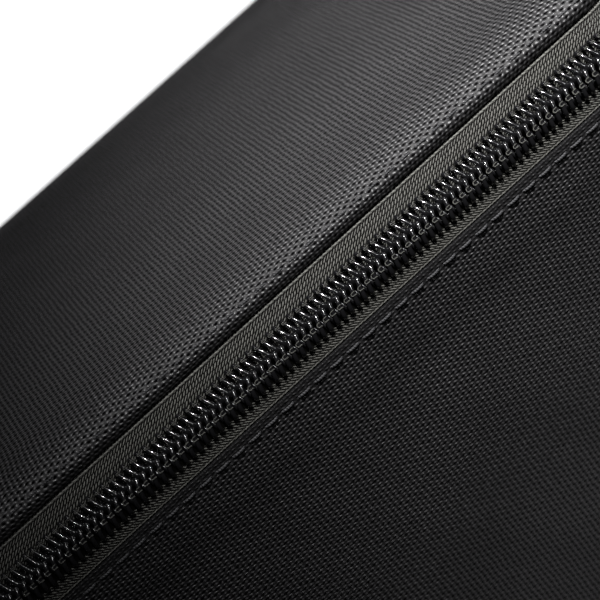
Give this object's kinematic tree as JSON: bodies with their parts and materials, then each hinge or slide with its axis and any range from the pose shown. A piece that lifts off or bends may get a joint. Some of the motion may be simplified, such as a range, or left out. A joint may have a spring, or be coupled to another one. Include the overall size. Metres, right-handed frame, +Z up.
{
  "type": "battery storage pouch",
  "caption": "Box-shaped padded cloth pouch with a cloth-hinged lid closed on the front and sides by a coil zip, and a webbing carry handle on one end.",
  "frame": {"origin": "middle of the underside of the base", "axes": "+X to the right along the front, +Y to the back (hinge side), +Z up"},
  "size_m": [0.1735, 0.0917, 0.115],
  "materials": {
    "cloth": "woven matt black nylon",
    "tape": "black twill zip tape",
    "coil": "shiny black nylon monofilament",
    "thread": "dark grey sewing thread",
    "webbing": "ribbed black webbing",
    "lining": "silver coated glass cloth",
    "felt": "grey needled glass felt",
    "board": "grey fibre board",
    "metal": "black paint over cast zinc",
    "rubber": "moulded black rubber"
  },
  "bodies": {
    "bag": {"front_side_band": "cloth", "back_panel": "cloth", "base_panel": "cloth", "zip_end_tab_left": "cloth", "zip_end_tab_right": "cloth", "rim_binding": "tape", "lower_zip_tape": "tape", "zip_end_tape_right": "tape", "lower_zip_coil": "coil", "zip_end_coil_right": "coil", "body_topstitch": "thread", "side_seam_stitch_left": "thread", "side_seam_stitch_right": "thread", "lower_coil_thread": "thread", "hinge_stitch": "thread", "handle_stitch_top": "thread", "handle_stitch_bottom": "thread", "hinge_strip": "webbing", "handle_end_top": "webbing", "handle_end_bottom": "webbing", "inner_lining": "lining", "wall_padding": "felt", "base_board": "board"},
    "lid": {"lid_panel": "cloth", "lid_padding": "felt", "lid_lining": "lining", "lid_binding": "tape", "lid_topstitch": "thread", "lid_hinge_strip": "webbing", "upper_zip_tape": "tape", "upper_zip_coil": "coil", "upper_coil_thread": "thread"},
    "zip_slider": {"slider_body": "metal", "slider_crown": "metal"},
    "pull_tab": {"pull_tab": "metal", "pull_grip": "rubber"},
    "handle": {"handle_grip": "webbing", "handle_grip_stitch": "thread"}
  },
  "joints": [
    {"name": "lid_hinge", "type": "hinge", "parent": "bag", "child": "lid", "pos_m": [0, 0.0464, 0.109], "axis": [-1, 0, 0], "range_deg": [0, 180]},
    {"name": "slider_travel", "type": "slide", "parent": "bag", "child": "zip_slider", "axis": [0, -1, 0], "range_m": [0, 0.048]},
    {"name": "pull_tab_swing", "type": "hinge", "parent": "zip_slider", "child": "pull_tab", "pos_m": [0.07778, 0.027, 0.10928], "axis": [-0.7071, 0, 0.7071], "range_deg": [0, 175]},
    {"name": "handle_swing", "type": "hinge", "parent": "bag", "child": "handle", "pos_m": [-0.0865, 0, 0.0515], "axis": [0, 0, 1], "range_deg": [-60, 60]}
  ]
}
